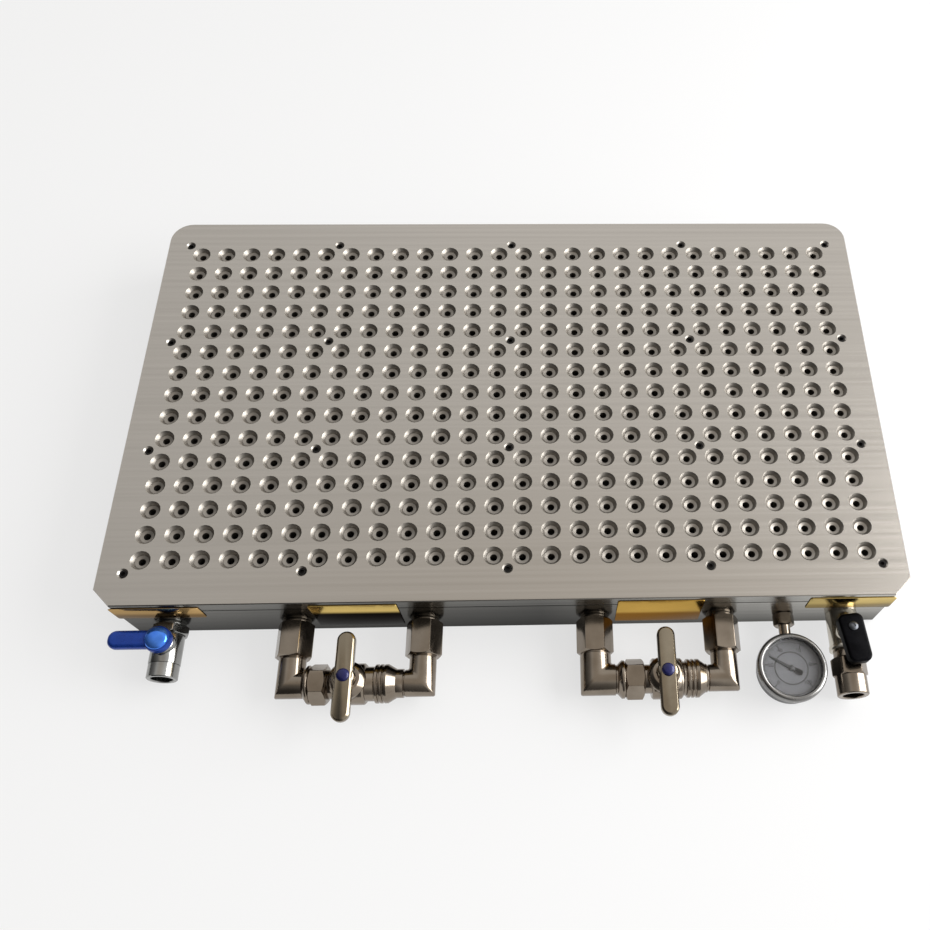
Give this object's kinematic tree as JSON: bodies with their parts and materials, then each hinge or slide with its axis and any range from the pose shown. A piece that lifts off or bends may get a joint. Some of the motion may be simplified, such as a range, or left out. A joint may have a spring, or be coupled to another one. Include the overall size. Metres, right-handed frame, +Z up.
{
  "type": "three-zone perforated vacuum chuck",
  "caption": "Flat perforated vacuum clamping plate with sealed chambers, cross-over ball valves, a release valve, a supply valve and a vacuum gauge along its front.",
  "frame": {"origin": "centre of the base's bottom face", "axes": "+X along the plate's long side, +Z up out of the suction face, -Y towards the valves and the gauge"},
  "size_m": [0.5, 0.3685, 0.048],
  "materials": {
    "base_aluminium": "polished",
    "top_aluminium": "satin",
    "gasket_rubber": "matte",
    "black_steel": "satin",
    "plate_brass": "polished",
    "nickelled_brass": "polished",
    "seat_plastic": "matte",
    "ball_steel": "polished",
    "handle_metal": "polished",
    "navy_plastic": "gloss",
    "blue_plastic": "gloss",
    "light_blue_plastic": "gloss",
    "black_plastic": "satin",
    "screw_steel": "satin",
    "gauge_steel": "satin",
    "bezel_steel": "polished",
    "window_glass": "polished",
    "dial_paint": "matte",
    "tube_bronze": "satin",
    "pointer_paint": "matte"
  },
  "bodies": {
    "chuck": {"base_plate": "base_aluminium", "top_plate": "top_aluminium", "chamber_gasket": "gasket_rubber", "cover_screws": "black_steel", "nameplate_1": "plate_brass", "nameplate_2": "plate_brass", "nameplate_3": "plate_brass", "nameplate_4": "plate_brass", "left_crossover_left_adaptor": "nickelled_brass", "left_crossover_left_elbow": "nickelled_brass", "left_crossover_right_adaptor": "nickelled_brass", "left_crossover_right_elbow": "nickelled_brass", "left_crossover_valve_body": "nickelled_brass", "left_crossover_valve_cap": "nickelled_brass", "left_crossover_ball_seats": "seat_plastic", "left_crossover_gland_nut": "nickelled_brass", "right_crossover_left_adaptor": "nickelled_brass", "right_crossover_left_elbow": "nickelled_brass", "right_crossover_right_adaptor": "nickelled_brass", "right_crossover_right_elbow": "nickelled_brass", "right_crossover_valve_body": "nickelled_brass", "right_crossover_valve_cap": "nickelled_brass", "right_crossover_ball_seats": "seat_plastic", "right_crossover_gland_nut": "nickelled_brass", "release_valve_body": "nickelled_brass", "release_valve_outlet": "nickelled_brass", "release_valve_ball_seats": "seat_plastic", "release_valve_gland_nut": "nickelled_brass", "supply_valve_body": "nickelled_brass", "supply_valve_outlet": "nickelled_brass", "supply_valve_ball_seats": "seat_plastic", "supply_valve_gland_nut": "nickelled_brass", "supply_valve_nut": "nickelled_brass", "gauge_socket": "nickelled_brass", "gauge_case": "gauge_steel", "gauge_bezel": "bezel_steel", "gauge_window": "window_glass", "gauge_dial": "dial_paint", "gauge_bourdon_tube": "tube_bronze", "gauge_movement": "tube_bronze"},
    "left_crossover_handle": {"left_crossover_ball": "ball_steel", "left_crossover_stem": "nickelled_brass", "left_crossover_bar_handle": "handle_metal", "left_crossover_handle_button": "navy_plastic"},
    "right_crossover_handle": {"right_crossover_ball": "ball_steel", "right_crossover_stem": "nickelled_brass", "right_crossover_bar_handle": "handle_metal", "right_crossover_handle_button": "navy_plastic"},
    "release_lever": {"release_valve_ball": "ball_steel", "release_valve_stem": "nickelled_brass", "release_valve_lever": "blue_plastic", "release_valve_lever_cap": "light_blue_plastic"},
    "supply_lever": {"supply_valve_ball": "ball_steel", "supply_valve_stem": "nickelled_brass", "supply_valve_lever": "black_plastic", "supply_valve_lever_screw": "screw_steel"},
    "pointer": {"gauge_pointer_shaft": "screw_steel", "gauge_pointer": "pointer_paint"}
  },
  "joints": [
    {"name": "left_crossover_turn", "type": "hinge", "parent": "chuck", "child": "left_crossover_handle", "pos_m": [-0.09825, -0.191, 0.014], "axis": [0, 0, 1], "range_deg": [0, 90]},
    {"name": "right_crossover_turn", "type": "hinge", "parent": "chuck", "child": "right_crossover_handle", "pos_m": [0.09675, -0.191, 0.014], "axis": [0, 0, 1], "range_deg": [0, 90]},
    {"name": "release_turn", "type": "hinge", "parent": "chuck", "child": "release_lever", "pos_m": [-0.214, -0.165, 0.014], "axis": [0, 0, 1], "range_deg": [0, 90]},
    {"name": "supply_turn", "type": "hinge", "parent": "chuck", "child": "supply_lever", "pos_m": [0.214, -0.165, 0.014], "axis": [0, 0, 1], "range_deg": [-7, 83]},
    {"name": "pointer_turn", "type": "hinge", "parent": "chuck", "child": "pointer", "pos_m": [0.176, -0.187, 0.014], "axis": [0, 0, 1], "range_deg": [0, 256], "stiffness_Nm_per_rad": 0.0002}
  ]
}
